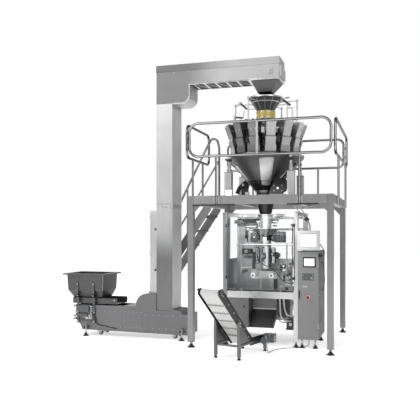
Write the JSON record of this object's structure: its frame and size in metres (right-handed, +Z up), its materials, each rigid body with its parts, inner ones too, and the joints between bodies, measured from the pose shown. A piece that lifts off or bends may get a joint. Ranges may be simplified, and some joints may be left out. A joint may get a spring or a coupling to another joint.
{
  "type": "vertical form fill sealer",
  "caption": "Packing line: bucket elevator feeds a combination weigher on a railed platform over a vertical form fill seal machine with control cabinet and take-off conveyor.",
  "frame": {"origin": "centre of the whole line's footprint, on the floor", "axes": "+X from the elevator's feeder towards the control cabinet, +Y from the operator's side towards the film roll, +Z up"},
  "size_m": [4.024, 2.9359, 3.888],
  "materials": {
    "brushed_steel": "brushed stainless steel",
    "satin_sheet": "satin stainless sheet",
    "dark_steel": "dark satin steel",
    "polished_tube": "polished stainless tube",
    "grey_paint": "grey enamel",
    "rubber": "black rubber",
    "amber_ring": "translucent amber plastic",
    "white_belt": "white food-grade belt",
    "clear_acrylic": "clear acrylic panel",
    "film_roll": "wound packaging film",
    "red_plastic": "red moulding",
    "green_plastic": "green moulding"
  },
  "bodies": {
    "line": {"access_stair": "brushed_steel", "bag_former": "polished_tube", "bucket_chain": "dark_steel", "collection_funnel": "dark_steel", "control_cabinet": "grey_paint", "conveyor_belt": "white_belt", "conveyor_frame": "dark_steel", "conveyor_motor": "grey_paint", "elevator_base": "satin_sheet", "elevator_column": "satin_sheet", "elevator_control_box": "satin_sheet", "elevator_gearmotor": "grey_paint", "elevator_head": "satin_sheet", "feed_hoppers": "brushed_steel", "feeder_hopper": "dark_steel", "guard_rail_back_right": "polished_tube", "guard_rail_front_left": "polished_tube", "infeed_funnel": "dark_steel", "infeed_ring": "amber_ring", "machine_frame": "brushed_steel", "platform_deck": "satin_sheet", "platform_frame": "brushed_steel", "radial_feeders": "brushed_steel", "weigh_hoppers": "brushed_steel", "weigher_body": "brushed_steel"},
    "head_shaft": {"head_shaft": "brushed_steel"},
    "tail_shaft": {"tail_shaft": "brushed_steel"},
    "feeder_tray": {"feeder_tray": "dark_steel"},
    "wheelset_left": {"wheelset_left": "rubber"},
    "wheelset_right": {"wheelset_right": "rubber"},
    "dispersion_cone": {"dispersion_cone": "brushed_steel"},
    "weigh_gate_01": {"weigh_gate_01": "brushed_steel"},
    "weigh_gate_02": {"weigh_gate_02": "brushed_steel"},
    "weigh_gate_03": {"weigh_gate_03": "brushed_steel"},
    "weigh_gate_04": {"weigh_gate_04": "brushed_steel"},
    "weigh_gate_05": {"weigh_gate_05": "brushed_steel"},
    "weigh_gate_06": {"weigh_gate_06": "brushed_steel"},
    "weigh_gate_07": {"weigh_gate_07": "brushed_steel"},
    "weigh_gate_08": {"weigh_gate_08": "brushed_steel"},
    "weigh_gate_09": {"weigh_gate_09": "brushed_steel"},
    "weigh_gate_10": {"weigh_gate_10": "brushed_steel"},
    "weigh_gate_11": {"weigh_gate_11": "brushed_steel"},
    "weigh_gate_12": {"weigh_gate_12": "brushed_steel"},
    "weigh_gate_13": {"weigh_gate_13": "brushed_steel"},
    "weigh_gate_14": {"weigh_gate_14": "brushed_steel"},
    "film_roll": {"film_roll": "film_roll"},
    "dancer_arm": {"dancer_arm": "brushed_steel"},
    "pull_belt_left": {"pull_belt_left": "rubber"},
    "pull_belt_right": {"pull_belt_right": "rubber"},
    "vertical_sealer": {"vertical_sealer": "polished_tube"},
    "front_jaw": {"front_jaw": "brushed_steel"},
    "rear_jaw": {"rear_jaw": "brushed_steel"},
    "safety_door_left": {"safety_door_left": "clear_acrylic"},
    "safety_door_right": {"safety_door_right": "clear_acrylic"},
    "cabinet_door": {"cabinet_door": "grey_paint"},
    "emergency_stop": {"emergency_stop": "red_plastic"},
    "start_button": {"start_button": "green_plastic"},
    "weigher_screen": {"weigher_screen": "satin_sheet"},
    "conveyor_drive_roller": {"conveyor_drive_roller": "brushed_steel"},
    "conveyor_tail_roller": {"conveyor_tail_roller": "brushed_steel"}
  },
  "joints": [
    {"name": "head_shaft_spin", "type": "hinge", "parent": "line", "child": "head_shaft", "pos_m": [1.088, 0.218, 3.702], "axis": [0, 1, 0], "continuous": true},
    {"name": "tail_shaft_spin", "type": "hinge", "parent": "line", "child": "tail_shaft", "pos_m": [-1.632, 0.218, 0.262], "axis": [0, 1, 0], "continuous": true},
    {"name": "feeder_tray_vibration", "type": "slide", "parent": "line", "child": "feeder_tray", "axis": [1, 0, 0], "range_m": [-0.004, 0.004]},
    {"name": "left_wheels_spin", "type": "hinge", "parent": "line", "child": "wheelset_left", "pos_m": [-1.472, 0.218, 0.036], "axis": [0, 1, 0], "continuous": true},
    {"name": "right_wheels_spin", "type": "hinge", "parent": "line", "child": "wheelset_right", "pos_m": [-0.302, 0.218, 0.036], "axis": [0, 1, 0], "continuous": true},
    {"name": "dispersion_cone_spin", "type": "hinge", "parent": "line", "child": "dispersion_cone", "pos_m": [0.988, 0.218, 3.006], "axis": [0, 0, 1], "continuous": true},
    {"name": "weigh_gate_01_swing", "type": "hinge", "parent": "line", "child": "weigh_gate_01", "pos_m": [1.14146, -0.21777, 2.59], "axis": [-0.9432, -0.3322, 0], "range_deg": [0, 60]},
    {"name": "weigh_gate_02_swing", "type": "hinge", "parent": "line", "child": "weigh_gate_02", "pos_m": [1.31533, -0.10803, 2.59], "axis": [-0.7057, -0.7085, 0], "range_deg": [0, 60]},
    {"name": "weigh_gate_03_swing", "type": "hinge", "parent": "line", "child": "weigh_gate_03", "pos_m": [1.42438, 0.06628, 2.59], "axis": [-0.3284, -0.9445, 0], "range_deg": [0, 60]},
    {"name": "weigh_gate_04_swing", "type": "hinge", "parent": "line", "child": "weigh_gate_04", "pos_m": [1.44699, 0.27064, 2.59], "axis": [0.1139, -0.9935, 0], "range_deg": [0, 60]},
    {"name": "weigh_gate_05_swing", "type": "hinge", "parent": "line", "child": "weigh_gate_05", "pos_m": [1.3787, 0.46458, 2.59], "axis": [0.5337, -0.8457, 0], "range_deg": [0, 60]},
    {"name": "weigh_gate_06_swing", "type": "hinge", "parent": "line", "child": "weigh_gate_06", "pos_m": [1.23302, 0.60968, 2.59], "axis": [0.8478, -0.5303, 0], "range_deg": [0, 60]},
    {"name": "weigh_gate_07_swing", "type": "hinge", "parent": "line", "child": "weigh_gate_07", "pos_m": [1.03881, 0.6772, 2.59], "axis": [0.9939, -0.11, 0], "range_deg": [0, 60]},
    {"name": "weigh_gate_08_swing", "type": "hinge", "parent": "line", "child": "weigh_gate_08", "pos_m": [0.83454, 0.65377, 2.59], "axis": [0.9432, 0.3322, 0], "range_deg": [0, 60]},
    {"name": "weigh_gate_09_swing", "type": "hinge", "parent": "line", "child": "weigh_gate_09", "pos_m": [0.66067, 0.54403, 2.59], "axis": [0.7057, 0.7085, 0], "range_deg": [0, 60]},
    {"name": "weigh_gate_10_swing", "type": "hinge", "parent": "line", "child": "weigh_gate_10", "pos_m": [0.55162, 0.36972, 2.59], "axis": [0.3284, 0.9445, 0], "range_deg": [0, 60]},
    {"name": "weigh_gate_11_swing", "type": "hinge", "parent": "line", "child": "weigh_gate_11", "pos_m": [0.52901, 0.16536, 2.59], "axis": [-0.1139, 0.9935, 0], "range_deg": [0, 60]},
    {"name": "weigh_gate_12_swing", "type": "hinge", "parent": "line", "child": "weigh_gate_12", "pos_m": [0.5973, -0.02858, 2.59], "axis": [-0.5337, 0.8457, 0], "range_deg": [0, 60]},
    {"name": "weigh_gate_13_swing", "type": "hinge", "parent": "line", "child": "weigh_gate_13", "pos_m": [0.74298, -0.17368, 2.59], "axis": [-0.8478, 0.5303, 0], "range_deg": [0, 60]},
    {"name": "weigh_gate_14_swing", "type": "hinge", "parent": "line", "child": "weigh_gate_14", "pos_m": [0.93719, -0.2412, 2.59], "axis": [-0.9939, 0.11, 0], "range_deg": [0, 60]},
    {"name": "film_roll_spin", "type": "hinge", "parent": "line", "child": "film_roll", "pos_m": [0.988, 1.073, 0.45], "axis": [1, 0, 0], "continuous": true},
    {"name": "dancer_swing", "type": "hinge", "parent": "line", "child": "dancer_arm", "pos_m": [0.988, 1.018, 1.055], "axis": [1, 0, 0], "range_deg": [-20, 20]},
    {"name": "left_belt_adjust", "type": "slide", "parent": "line", "child": "pull_belt_left", "axis": [-1, 0, 0], "range_m": [0, 0.04]},
    {"name": "right_belt_adjust", "type": "slide", "parent": "line", "child": "pull_belt_right", "axis": [1, 0, 0], "range_m": [0, 0.04]},
    {"name": "vertical_sealer_slide", "type": "slide", "parent": "line", "child": "vertical_sealer", "axis": [0, 1, 0], "range_m": [-0.04, 0.004]},
    {"name": "front_jaw_slide", "type": "slide", "parent": "line", "child": "front_jaw", "axis": [0, 1, 0], "range_m": [0, 0.05]},
    {"name": "rear_jaw_slide", "type": "slide", "parent": "line", "child": "rear_jaw", "axis": [0, -1, 0], "range_m": [0, 0.05]},
    {"name": "left_door_swing", "type": "hinge", "parent": "line", "child": "safety_door_left", "pos_m": [0.508, -0.094, 0.752], "axis": [0, 0, 1], "range_deg": [-105, 0]},
    {"name": "right_door_swing", "type": "hinge", "parent": "line", "child": "safety_door_right", "pos_m": [1.433, -0.094, 0.752], "axis": [0, 0, 1], "range_deg": [0, 105]},
    {"name": "cabinet_door_swing", "type": "hinge", "parent": "line", "child": "cabinet_door", "pos_m": [1.7465, -0.107, 0.117], "axis": [0, 0, 1], "range_deg": [0, 110]},
    {"name": "emergency_stop_press", "type": "slide", "parent": "cabinet_door", "child": "emergency_stop", "axis": [0, 1, 0], "range_m": [0, 0.006]},
    {"name": "start_button_press", "type": "slide", "parent": "cabinet_door", "child": "start_button", "axis": [0, 1, 0], "range_m": [0, 0.004]},
    {"name": "weigher_screen_tilt", "type": "hinge", "parent": "line", "child": "weigher_screen", "pos_m": [1.628, -0.1045, 1.41], "axis": [1, 0, 0], "range_deg": [-12, 12]},
    {"name": "drive_roller_spin", "type": "hinge", "parent": "line", "child": "conveyor_drive_roller", "pos_m": [0.95917, -0.31585, 0.165], "axis": [0.9659, -0.2588, 0], "continuous": true},
    {"name": "tail_roller_spin", "type": "hinge", "parent": "line", "child": "conveyor_tail_roller", "pos_m": [0.67447, -1.37837, 0.825], "axis": [0.9659, -0.2588, 0], "continuous": true}
  ],
  "couplings": [
    {"joint": "tail_shaft_spin", "follows": "head_shaft_spin", "ratio": 0.6},
    {"joint": "right_belt_adjust", "follows": "left_belt_adjust", "ratio": 1},
    {"joint": "rear_jaw_slide", "follows": "front_jaw_slide", "ratio": 1},
    {"joint": "tail_roller_spin", "follows": "drive_roller_spin", "ratio": 1}
  ]
}
